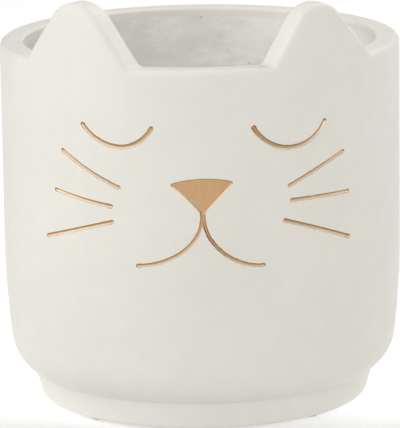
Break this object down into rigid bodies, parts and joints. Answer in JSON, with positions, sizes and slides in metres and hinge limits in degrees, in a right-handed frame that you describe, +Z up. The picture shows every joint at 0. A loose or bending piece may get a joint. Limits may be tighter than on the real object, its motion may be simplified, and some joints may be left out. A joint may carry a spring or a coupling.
{
  "type": "planter",
  "caption": "Round cement plant pot on a foot ring, with cat ears on the rim, a gilded sleeping face, a drain hole with a lift-out rubber plug, and foot pads.",
  "frame": {"origin": "on the surface it stands on, under the middle of the pot", "axes": "+Z up, -Y out of the front with the face, +X to the right of someone who looks at the face"},
  "size_m": [0.15, 0.15, 0.16],
  "materials": {
    "painted_cement": "matte",
    "gold_paint": "satin",
    "plug_rubber": "matte",
    "pad_rubber": "matte"
  },
  "bodies": {
    "pot": {"pot_body": "painted_cement", "nose_gilding": "gold_paint", "mouth_gilding": "gold_paint", "left_eye_gilding": "gold_paint", "right_eye_gilding": "gold_paint", "left_upper_whisker_gilding": "gold_paint", "left_middle_whisker_gilding": "gold_paint", "left_lower_whisker_gilding": "gold_paint", "right_upper_whisker_gilding": "gold_paint", "right_middle_whisker_gilding": "gold_paint", "right_lower_whisker_gilding": "gold_paint", "foot_pad_1": "pad_rubber", "foot_pad_2": "pad_rubber", "foot_pad_3": "pad_rubber", "foot_pad_4": "pad_rubber"},
    "plug": {"drain_plug": "plug_rubber"}
  },
  "joints": [
    {"name": "plug_lift", "type": "slide", "parent": "pot", "child": "plug", "axis": [0, 0, 1], "range_m": [0, 0.16]}
  ]
}
